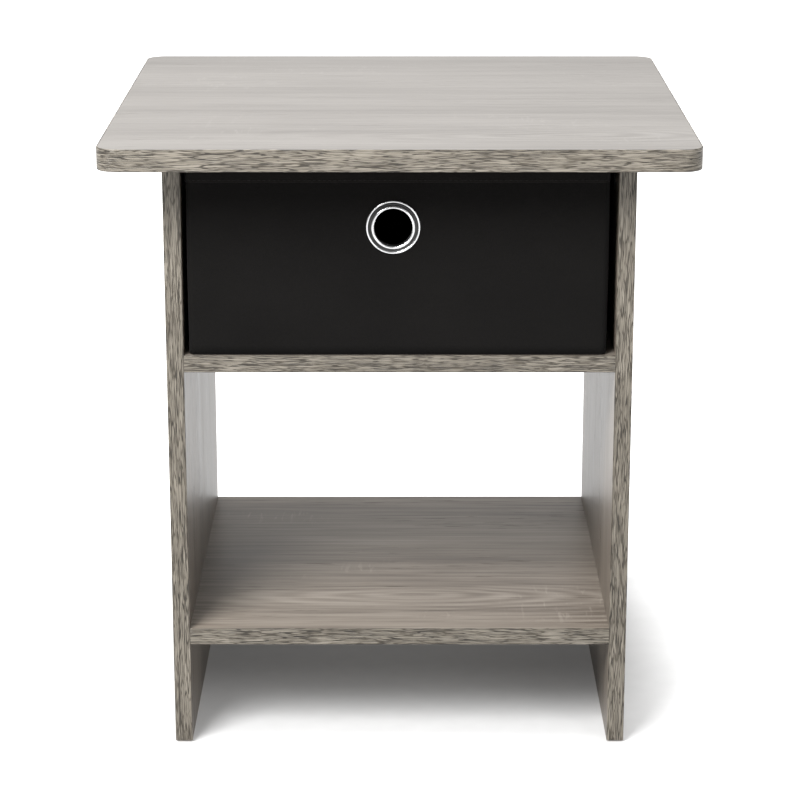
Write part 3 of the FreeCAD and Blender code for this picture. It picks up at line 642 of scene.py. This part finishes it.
def dress_bands():
    """Each band gets grain of its own, along its length."""
    seed = 30.0
    for name in sorted(frame["nodes"]):
        if not name.endswith("_band"):
            continue
        seed += 1.37
        if name == "top_edge_band":
            dress(name, top_band(name, TOP_CORNER, seed))
        elif "_side_" in name:
            dress(name, straight_band(name, "z", "x", seed))
        else:
            dress(name, straight_band(name, "x", "z", seed))


def dress_fixings():
    """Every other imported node, by the finish its record row names."""
    made = {
        "zinc": cast_zinc(),
        "zinc_plated_steel": plated_steel(),
        "beech": beech(),
        "cover_disc": cover_disc(),
        "glide_plastic": glide_plastic(),
        "card": card(),
    }
    for row in frame["record"]["subparts"]:
        if row["material_slot"] in made:
            dress(row["node"], made[row["material_slot"]])


# ---------------------------------------------------------------------------------------------
# mesh helpers


def finish_piece(name, bm, material, body):
    """Turns a bmesh into a piece that rides on body."""
    bmesh.ops.recalc_face_normals(bm, faces=bm.faces)
    mesh = bpy.data.meshes.new(name)
    bm.to_mesh(mesh)
    bm.free()
    mesh.materials.append(material)
    for face in mesh.polygons:
        face.use_smooth = True
    piece = bpy.data.objects.new(name, mesh)
    bpy.context.scene.collection.objects.link(piece)
    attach(piece, body)
    return piece


def thicken(piece, thickness):
    """Gives a single sheet its thickness, inwards from the side its faces show."""
    modifier = piece.modifiers.new("thickness", "SOLIDIFY")
    modifier.thickness = thickness
    modifier.offset = -1.0
    modifier.use_even_offset = True


def marks(start, end, step, fixed=()):
    """Positions from start to end, no further apart than step, that pass through fixed."""
    stops = [start, *fixed, end]
    line = [start]
    for a, b in zip(stops, stops[1:]):
        count = max(1, math.ceil(abs(b - a) / step))
        line += [a + (b - a) * (i + 1) / count for i in range(count)]
    return line


def rim_path(low, high, radius, front_fixed=()):
    """Round a rectangle with round corners, from the middle of the back, by way of the left side
    and the front. Each point is (x, y, outward x, outward y, length so far)."""
    left, right = low.x + radius, high.x - radius
    front, back = low.y + radius, high.y - radius
    middle = (low.x + high.x) / 2
    spots = [(x, high.y, 0, 1) for x in marks(middle, left, CLOTH_STEP)]
    spots += corner(left, back, radius, 90)
    spots += [(low.x, y, -1, 0) for y in marks(back, front, CLOTH_STEP)]
    spots += corner(left, front, radius, 180)
    spots += [(x, low.y, 0, -1) for x in marks(left, right, CLOTH_STEP, front_fixed)]
    spots += corner(right, front, radius, 270)
    spots += [(high.x, y, 1, 0) for y in marks(front, back, CLOTH_STEP)]
    spots += corner(right, back, radius, 360)
    spots += [(x, high.y, 0, 1) for x in marks(right, middle, CLOTH_STEP)]
    path, length = [], 0.0
    for i, (x, y, nx, ny) in enumerate(spots):
        if i:
            length += math.dist((x, y), spots[i - 1][:2])
        path.append((x, y, nx, ny, length))
    return path


def corner(x, y, radius, start):
    """Points inside a quarter turn about (x, y), without its two ends."""
    turn = [math.radians(start + 90 * i / CORNER_STEPS) for i in range(1, CORNER_STEPS)]
    return [
        (x + radius * math.cos(a), y + radius * math.sin(a), math.cos(a), math.sin(a)) for a in turn
    ]


def set_cut(bm, cut, whole=None):
    """Writes each vertex's place on the flat cut as UVs in metres. cut maps a vertex to its place,
    and whole is the length of a closed loop, where the last column meets the first."""
    layer = bm.loops.layers.uv.new("cut")
    for face in bm.faces:
        places = [cut[loop.vert] for loop in face.loops]
        wraps = whole and max(p[0] for p in places) - min(p[0] for p in places) > whole / 2
        for loop, (u, v) in zip(face.loops, places):
            loop[layer].uv = (u + whole, v) if wraps and u < whole / 2 else (u, v)


def sweep(path, profile, closed_profile):
    """Carries a profile of (outward, z) points round a closed path. Returns the bmesh, its columns
    and the map to the flat cut."""
    bm = bmesh.new()
    cut = {}
    columns = []
    for x, y, nx, ny, length in path[:-1]:
        column = []
        run = 0.0
        for i, (out, z) in enumerate(profile):
            if i:
                run += math.dist(profile[i], profile[i - 1])
            vert = bm.verts.new((x + nx * out, y + ny * out, z))
            cut[vert] = (length, run)
            column.append(vert)
        columns.append(column)
    rows = len(profile) if closed_profile else len(profile) - 1
    for i, column in enumerate(columns):
        after = columns[(i + 1) % len(columns)]
        for j in range(rows):
            k = (j + 1) % len(profile)
            bm.faces.new((column[j], after[j], after[k], column[k]))
    return bm, columns, cut


# ---------------------------------------------------------------------------------------------
# the bin


def slack(length, z, whole, low, high):
    """How far a stiffened wall stands off its card, from 0 to 1: waves that die out at its rim
    and floor."""
    up = (z - low) / (high - low)
    hold = math.sin(math.pi * min(max(up, 0.0), 1.0)) ** 0.8
    turn = 2 * math.pi * length / whole
    wave = 0.5 + 0.22 * math.sin(5 * turn + 0.6) + 0.16 * math.sin(11 * turn + 3.1 * up)
    wave += 0.12 * math.sin(17 * turn - 4.3 * up + 1.1)
    return hold * max(wave, 0.0)


def eyelet_centre():
    low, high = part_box("eyelet_ring")
    return (low.x + high.x) / 2, (low.z + high.z) / 2


def open_eyelet(bm, cut, y, radius):
    """Replaces the wall's faces about the eyelet with rings that end in a round hole."""
    ex, ez = eyelet_centre()
    reach = EYELET_PATCH + 0.01 * MM
    inside = [
        face
        for face in bm.faces
        if all(
            abs(v.co.y - y) < 2 * MM and abs(v.co.x - ex) < reach and abs(v.co.z - ez) < reach
            for v in face.verts
        )
    ]
    rim = [
        v
        for v in {v for face in inside for v in face.verts}
        if max(abs(v.co.x - ex), abs(v.co.z - ez)) > EYELET_PATCH - 0.01 * MM
    ]
    bmesh.ops.delete(bm, geom=inside, context="FACES")
    ring = sorted(rim, key=lambda v: math.atan2(v.co.z - ez, v.co.x - ex))
    spokes = [(v.co.copy(), math.atan2(v.co.z - ez, v.co.x - ex)) for v in ring]
    for share in (0.3, 0.6, 0.85, 1.0):
        inner = []
        for vert, (outer, angle) in zip(ring, spokes):
            hole = Vector((ex + radius * math.cos(angle), y, ez + radius * math.sin(angle)))
            made = bm.verts.new(outer.lerp(hole, share))
            u, v = cut[vert]
            cut[made] = (u + made.co.x - vert.co.x, v + made.co.z - vert.co.z)
            inner.append(made)
        for i in range(len(ring)):
            k = (i + 1) % len(ring)
            bm.faces.new((ring[i], ring[k], inner[k], inner[i]))
        ring = inner


def wall_rows(low, high):
    """Heights of a wall's rows, two of them level with the eyelet patch's edges."""
    ex, ez = eyelet_centre()
    return marks(low, high, CLOTH_STEP, (ez - EYELET_PATCH, ez + EYELET_PATCH))


def standing_off(columns, path, rows, depth):
    """Moves a wall's vertices off their card by up to depth, and not at all at the eyelet."""
    ex, ez = eyelet_centre()
    whole = path[-1][4]
    for column, (x, y, nx, ny, length) in zip(columns, path):
        for vert, z in zip(column, rows):
            far = math.dist((x, z), (ex, ez)) if ny < -0.9 else 1.0
            near_eyelet = min(max((far - EYELET_CLEAR) / (30 * MM), 0.0), 1.0)
            move = depth * slack(length, z, whole, rows[0], rows[-1]) * near_eyelet
            vert.co.x += nx * move
            vert.co.y += ny * move


def bin_wall(material):
    """The cloth round the bin's four sides, with the eyelet's hole."""
    low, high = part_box("bin_wall_fabric")
    ex, ez = eyelet_centre()
    path = rim_path(low, high, CORNER_RADIUS, (ex - EYELET_PATCH, ex + EYELET_PATCH))
    rows = wall_rows(low.z, high.z)
    bm, columns, cut = sweep(path, [(0.0, z) for z in rows], False)
    standing_off(columns, path, rows, WALL_SLACK)
    open_eyelet(bm, cut, low.y, EYELET_HOLE_RADIUS)
    set_cut(bm, cut, path[-1][4])
    piece = finish_piece("bin_wall_cover", bm, material, "bin")
    thicken(piece, WALL_CLOTH)
    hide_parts("bin_wall_fabric")


def lathe(profile, centre):
    """Turns a closed profile of (radius, outward) points about the bin front's normal."""
    bm = bmesh.new()
    rings = []
    for i in range(EYELET_STEPS):
        angle = 2 * math.pi * i / EYELET_STEPS
        x, z = math.cos(angle), math.sin(angle)
        rings.append(
            [
                bm.verts.new((centre.x + radius * x, centre.y - out, centre.z + radius * z))
                for radius, out in profile
            ]
        )
    for i, ring in enumerate(rings):
        after = rings[(i + 1) % EYELET_STEPS]
        for j in range(len(profile)):
            k = (j + 1) % len(profile)
            bm.faces.new((ring[j], after[j], after[k], ring[k]))
    return bm


def arc(radius_at, out_at, radius, start, end):
    """Points on a bead of the eyelet's profile, from start to end in degrees."""
    turns = [math.radians(start + (end - start) * i / BEAD_STEPS) for i in range(BEAD_STEPS + 1)]
    return [(radius_at + radius * math.cos(a), out_at + radius * math.sin(a)) for a in turns]


def add_stitch(bm, middle, along, out):
    """One visible thread of a seam: a short rod whose two ends dive into the cloth."""
    across = along.cross(out).normalized()
    rings = []
    steps, sides = 5, 6
    for i in range(steps):
        t = i / (steps - 1)
        sink = THREAD_RADIUS * (1.25 * math.sin(math.pi * t) ** 0.7 - 0.95)
        centre = middle + along * STITCH_LENGTH * (t - 0.5) + out * sink
        ring = []
        for j in range(sides):
            angle = 2 * math.pi * j / sides
            spoke = across * math.cos(angle) + out * math.sin(angle)
            ring.append(bm.verts.new(centre + spoke * THREAD_RADIUS))
        rings.append(ring)
    for ring, after in zip(rings, rings[1:]):
        for j in range(sides):
            k = (j + 1) % sides
            bm.faces.new((ring[j], ring[k], after[k], after[j]))
    bm.faces.new(rings[0])
    bm.faces.new(reversed(rings[-1]))


def walk(path, step):
    """Evenly spaced (place, tangent, outward) along a path of rim_path's."""
    total = path[-1][4]
    count = round(total / step)
    i = 0
    for n in range(count):
        length = total * (n + 0.5) / count
        while path[i + 1][4] < length:
            i += 1
        ax, ay, anx, any_, a = path[i]
        bx, by, bnx, bny, b = path[i + 1]
        t = (length - a) / (b - a)
        out = Vector((anx + (bnx - anx) * t, any_ + (bny - any_) * t, 0)).normalized()
        place = Vector((ax + (bx - ax) * t, ay + (by - ay) * t, 0))
        yield place, Vector((-out.y, out.x, 0)), out


def cap(bm, ring, inset, cut):
    """Closes a flat ring of vertices: a strip inset wide, then one flat face."""
    middle = sum((v.co for v in ring), Vector()) / len(ring)
    half = max(abs(v.co.x - middle.x) for v in ring)
    inner = []
    for vert in ring:
        made = bm.verts.new(middle.lerp(vert.co, 1 - inset / half))
        cut[made] = (made.co.x, made.co.y)
        inner.append(made)
    for i in range(len(ring)):
        k = (i + 1) % len(ring)
        bm.faces.new((ring[i], ring[k], inner[k], inner[i]))
    bm.faces.new(inner)


def bin_bottom(material):
    """The cloth under the bin, its edge turned up to meet the walls."""
    low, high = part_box("bin_bottom_fabric")
    path = rim_path(low, high, CORNER_RADIUS)
    turned = [(-0.8, 1.0), (0.0, 1.0), (-0.05, 0.65), (-0.28, 0.28), (-0.7, 0.06), (-1.3, 0.0)]
    thick = high.z - low.z
    profile = [(out * MM, low.z + share * thick) for out, share in turned]
    bm, columns, _ = sweep(path, profile, False)
    cut = {v: (v.co.x, v.co.y) for v in bm.verts}
    cap(bm, [column[0] for column in columns], 3 * MM, cut)
    cap(bm, [column[-1] for column in columns], 3 * MM, cut)
    set_cut(bm, cut)
    piece = finish_piece("bin_bottom_cover", bm, material, "bin")
    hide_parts("bin_bottom_fabric")


def bin_inside(material):
    """The lining: a tray of cloth inside the cards, a little slack on its walls."""
    low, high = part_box("bin_lining")
    ex, ez = eyelet_centre()
    radius = CORNER_RADIUS - (low.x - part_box("bin_wall_fabric")[0].x)
    path = rim_path(low, high, radius, (ex - EYELET_PATCH, ex + EYELET_PATCH))
    top = high.z - 0.1 * MM
    rows = wall_rows(low.z + radius, top)
    turned = [(radius * (math.cos(a) - 1), low.z + radius * (1 - math.sin(a))) for a in QUARTER]
    profile = [(0.0, z) for z in reversed(rows)] + turned
    bm, columns, cut = sweep(path, profile, False)
    tall = [column[: len(rows)] for column in columns]
    standing_off(tall, path, list(reversed(rows)), -LINING_SLACK)
    open_eyelet(bm, cut, low.y, EYELET_HOLE_RADIUS)
    whole = path[-1][4]
    floor = [column[-1] for column in columns]
    cap(bm, floor, 3 * MM, cut)
    set_cut(bm, cut, whole)
    piece = finish_piece("bin_inner_lining", bm, material, "bin")
    thicken(piece, LINING_CLOTH)
    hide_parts("bin_lining")
    width, depth, tall = high - low


def rim_tape(material):
    """Woven tape folded over the rim."""
    low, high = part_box("bin_wall_fabric")
    tape_low, tape_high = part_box("rim_binding")
    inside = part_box("bin_lining")[0].x + LINING_CLOTH - low.x
    path = rim_path(low, high, CORNER_RADIUS)
    bottom, top = tape_low.z, tape_high.z
    bend = 1.1 * MM
    back = -inside - 0.9 * TAPE
    profile = [(TAPE * 0.7, bottom), (TAPE, bottom + 0.2 * MM), (TAPE, bottom + 4 * MM)]
    profile += [(TAPE + bend * (math.cos(a) - 1), top + bend * (math.sin(a) - 1)) for a in QUARTER]
    profile += [(back + bend * (1 - math.sin(a)), top + bend * (math.cos(a) - 1)) for a in QUARTER]
    profile += [(back, bottom + 4 * MM), (back, bottom + 0.2 * MM), (back + TAPE * 0.2, bottom)]
    profile += [(-inside, bottom), (-inside, top - TAPE), (0.0, top - TAPE), (0.0, bottom)]
    bm, _, cut = sweep(path, profile, True)
    set_cut(bm, cut, path[-1][4])
    piece = finish_piece("bin_rim_tape", bm, material, "bin")
    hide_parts("rim_binding")


def rim_stitches(material):
    """The seam that holds the tape, on the rim's outer and inner sides."""
    low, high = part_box("bin_wall_fabric")
    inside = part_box("bin_lining")[0].x + LINING_CLOTH - low.x
    path = rim_path(low, high, CORNER_RADIUS)
    height = Vector((0, 0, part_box("rim_binding")[0].z + 1.6 * MM))
    bm = bmesh.new()
    for place, tangent, out in walk(path, STITCH_PITCH):
        add_stitch(bm, place + out * TAPE + height, tangent, out)
        square = max(abs(out.x), abs(out.y)) > 0.999
        if square:
            add_stitch(bm, place - out * (inside + 0.9 * TAPE) + height, tangent, -out)
    finish_piece("rim_stitches", bm, material, "bin")


def back_seam(material, sewing):
    """The strip over the wall cloth's two ends, in the middle of the bin's back."""
    low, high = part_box("bin_wall_fabric")
    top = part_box("rim_binding")[0].z
    whole = rim_path(low, high, CORNER_RADIUS)[-1][4]
    middle = (low.x + high.x) / 2
    section = [(-4.6, 0.0), (-4.5, 0.32), (-4.1, 0.46), (0.0, 0.5), (4.1, 0.46), (4.5, 0.32), (4.6, 0)]
    rows = marks(low.z, top, CLOTH_STEP)
    bm = bmesh.new()
    cut = {}
    lines = []
    for z in rows:
        off = WALL_SLACK * slack(0.0, z, whole, low.z, high.z)
        line = [bm.verts.new((middle + x * MM, high.y + off + y * MM, z)) for x, y in section]
        cut.update({v: (v.co.x, z) for v in line})
        lines.append(line)
    for line, after in zip(lines, lines[1:]):
        for j in range(len(section)):
            k = (j + 1) % len(section)
            bm.faces.new((line[j], line[k], after[k], after[j]))
    bm.faces.new(lines[0])
    bm.faces.new(lines[-1])
    set_cut(bm, cut)
    finish_piece("bin_back_seam", bm, material, "bin")
    stitches = bmesh.new()
    count = round((top - low.z - 6 * MM) / STITCH_PITCH)
    for side in (-1, 1):
        for i in range(count):
            z = low.z + 3 * MM + STITCH_PITCH * (i + 0.5)
            off = WALL_SLACK * slack(0.0, z, whole, low.z, high.z) + 0.47 * MM
            place = Vector((middle + side * 3 * MM, high.y + off, z))
            add_stitch(stitches, place, Vector((0, 0, 1)), Vector((0, 1, 0)))
    finish_piece("back_seam_stitches", stitches, sewing, "bin")


def eyelet(material):
    """The pressed ring: a raised inner bead, a groove, an outer bead, and a barrel that is
    clenched behind."""
    low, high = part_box("eyelet_ring")
    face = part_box("bin_wall_fabric")[0].y
    ex, ez = eyelet_centre()
    hole = EYELET_RING_HOLE
    flange = (high.x - low.x) / 2
    front = face - low.y
    back = face - high.y
    barrel = 0.7 * MM
    bead = EYELET_BEAD / 2
    outer = EYELET_EDGE / 2
    groove = 0.35 * MM
    profile = arc(hole + bead, front - bead, bead, 180, 10)
    profile += [(hole + 2 * bead + 0.12 * MM, groove + 0.12 * MM), (hole + 2 * bead + 0.4 * MM, groove)]
    profile += [(flange - 2 * outer - 0.1 * MM, groove)]
    profile += arc(flange - outer, 1.2 * MM - outer, outer, 150, 0)
    profile += [(flange, 0.0), (hole + barrel, 0.0), (hole + barrel, back + 0.4 * MM)]
    profile += [(hole + 2.0 * MM, back + 0.35 * MM), (hole + 2.2 * MM, back + 0.15 * MM)]
    profile += [(hole + 1.8 * MM, back), (hole + 0.7 * MM, back)]
    profile += [(hole + 0.2 * MM, back + 0.2 * MM), (hole, back + 0.8 * MM)]
    bm = lathe(profile, Vector((ex, face, ez)))
    piece = finish_piece("eyelet_pressed_ring", bm, material, "bin")
    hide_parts("eyelet_ring")


def sleeve(material, sewing):
    """Cloth sleeve over the base board: closed at the front and sides, open at the back."""
    low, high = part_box("base_board_cover")
    half = (high.z - low.z) / 2
    middle = (high.z + low.z) / 2
    turn = 4 * MM
    edges = [turn * (1 - math.cos(a)) for a in QUARTER]
    xs = [low.x + e for e in edges]
    xs += marks(low.x + turn, high.x - turn, CLOTH_STEP)[1:-1]
    xs += [high.x - e for e in reversed(edges)]
    ys = [low.y + e for e in edges] + marks(low.y + turn, high.y, CLOTH_STEP)[1:]
    bm = bmesh.new()
    cut = {}
    sheets = {}
    for side in (1, -1):
        for i, x in enumerate(xs):
            for j, y in enumerate(ys):
                if side < 0 and (i, j, 1) in sheets and on_edge(i, j, xs):
                    sheets[i, j, -1] = sheets[i, j, 1]
                    continue
                px, py, inset = rounded(x, y, low, high, turn)
                share = min(inset / half, 1.0)
                rise = half * math.sqrt(max(1 - (1 - share) ** 2, 0.0))
                lift = ripple(x, y) * share if side > 0 else 0
                vert = bm.verts.new((px, py, middle + side * rise + lift))
                sheets[i, j, side] = vert
                cut[vert] = (x, y)
    for side in (1, -1):
        for i in range(len(xs) - 1):
            for j in range(len(ys) - 1):
                corners = [(i, j), (i + 1, j), (i + 1, j + 1), (i, j + 1)]
                bm.faces.new([sheets[a, b, side] for a, b in corners])
    set_cut(bm, cut)
    piece = finish_piece("base_board_sleeve", bm, material, "base_board")
    thicken(piece, SLEEVE_CLOTH)
    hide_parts("base_board_cover")
    stitches = bmesh.new()
    inset = 5.5 * MM
    seam = [(low.x + inset, high.y), (low.x + inset, low.y + inset)]
    seam += [(high.x - inset, low.y + inset), (high.x - inset, high.y)]
    for (ax, ay), (bx, by) in zip(seam, seam[1:]):
        run = Vector((bx - ax, by - ay, 0))
        count = round(run.length / STITCH_PITCH)
        for i in range(count):
            place = Vector((ax, ay, 0)) + run * (i + 0.5) / count
            place.z = high.z + ripple(place.x, place.y)
            add_stitch(stitches, place, run.normalized(), Vector((0, 0, 1)))
    finish_piece("sleeve_stitches", stitches, sewing, "base_board")


def ripple(x, y):
    """How far the top layer of the sleeve rises and dips."""
    return 0.12 * MM * math.sin(x * 95 + 1.3) * math.sin(y * 71 + 0.4)


def on_edge(i, j, xs):
    """Whether the sleeve's two layers share this point: its front edge and its two sides."""
    return i == 0 or j == 0 or i == len(xs) - 1


def rounded(x, y, low, high, radius):
    """A point of the sleeve's outline with its two front corners rounded, and how far it is from
    the sleeve's closed edges."""
    inset = min(x - low.x, high.x - x, y - low.y)
    centre_x = low.x + radius if x < low.x + radius else high.x - radius
    dx, dy = x - centre_x, y - (low.y + radius)
    if dy < 0 and (x < low.x + radius or x > high.x - radius):
        scale = max(abs(dx), abs(dy)) / max(math.hypot(dx, dy), 1e-9)
        x, y = centre_x + dx * scale, low.y + radius + dy * scale
    return x, y, inset


# ---------------------------------------------------------------------------------------------
# studio


def make_floor():
    """A wide sheet of pale paper, a hair under the glides."""
    bm = bmesh.new()
    bmesh.ops.create_grid(bm, x_segments=24, y_segments=24, size=14)
    mesh = bpy.data.meshes.new("studio_floor")
    bm.to_mesh(mesh)
    bm.free()
    mesh.materials.append(studio_floor())
    floor = bpy.data.objects.new("studio_floor", mesh)
    floor.location.z = -0.2 * MM
    bpy.context.scene.collection.objects.link(floor)


def area_light(name, place, target, size, power):
    """A soft square light at place that points at target."""
    data = bpy.data.lights.new(name, "AREA")
    data.shape = "SQUARE"
    data.size = size
    data.energy = power
    light = bpy.data.objects.new(name, data)
    light.location = place
    aim = Vector(target) - Vector(place)
    light.rotation_euler = aim.to_track_quat("-Z", "Y").to_euler()
    bpy.context.scene.collection.objects.link(light)


def make_world():
    """Bright overhead and at the sides and back, dim in front, where the camera stands. Seen by
    the camera itself it is a plain white backdrop all round."""
    world = bpy.data.worlds.new("studio")
    g = Graph(world, "Background")
    x, y, z = g.split(g.node("ShaderNodeTexCoord", {}).outputs["Generated"])
    light = g.total(0.08, (g.span(y, -0.8, -0.1), 0.66), (g.span(z, 0.35, 0.9), 1.1))
    seen = g.node("ShaderNodeLightPath", {}).outputs["Is Camera Ray"]
    g.surface(
        Color=(1.0, 1.0, 1.0, 1.0),
        Strength=g.add(g.times(light, g.do("SUBTRACT", 1.0, seen)), seen),
    )
    bpy.context.scene.world = world


def make_lights():
    """A soft key from the front left, a weak fill from the front right and a broad light
    overhead. Each has its place, where it points, its size and its power in watts."""
    area_light("key_light", (-0.95, -1.50, 1.74), (0, 0, 0.2), 1.05, 120)
    area_light("fill_light", (1.30, -1.75, 0.90), (0, 0, 0.25), 1.0, 11)
    area_light("top_light", (0.0, 0.0, 2.6), (0, 0, 0.2), 1.6, 55)


def make_camera():
    """The photograph's viewpoint."""
    data = bpy.data.cameras.new("photo_camera")
    data.lens = CAMERA_LENS
    data.sensor_width = 36
    camera = bpy.data.objects.new("photo_camera", data)
    camera.location = CAMERA_PLACE
    camera.rotation_euler = (math.radians(90 - CAMERA_PITCH), 0, 0)
    bpy.context.scene.collection.objects.link(camera)
    bpy.context.scene.camera = camera


# ---------------------------------------------------------------------------------------------
# the scene

dress_boards()
dress_bands()
dress_fixings()

bin_cloth = spunbond("bin_cloth", (0.0037, 0.0034, 0.0032), 1.3 * MM, 0.06 * MM)
lining_cloth = spunbond("lining_cloth", (0.0060, 0.0058, 0.0055), 1.1 * MM, 0.05 * MM)
sewing_thread = thread()
plating = chrome()

bin_wall(bin_cloth)
bin_bottom(bin_cloth)
bin_inside(lining_cloth)
rim_tape(tape_weave("rim_tape_weave", (0.0042, 0.0036, 0.0031)))
rim_stitches(sewing_thread)
back_seam(bin_cloth, sewing_thread)
eyelet(plating)
dress("eyelet_washer", plating)
sleeve(bin_cloth, sewing_thread)

make_floor()
make_world()
make_lights()
make_camera()
bpy.context.scene.view_settings.view_transform = "Standard"
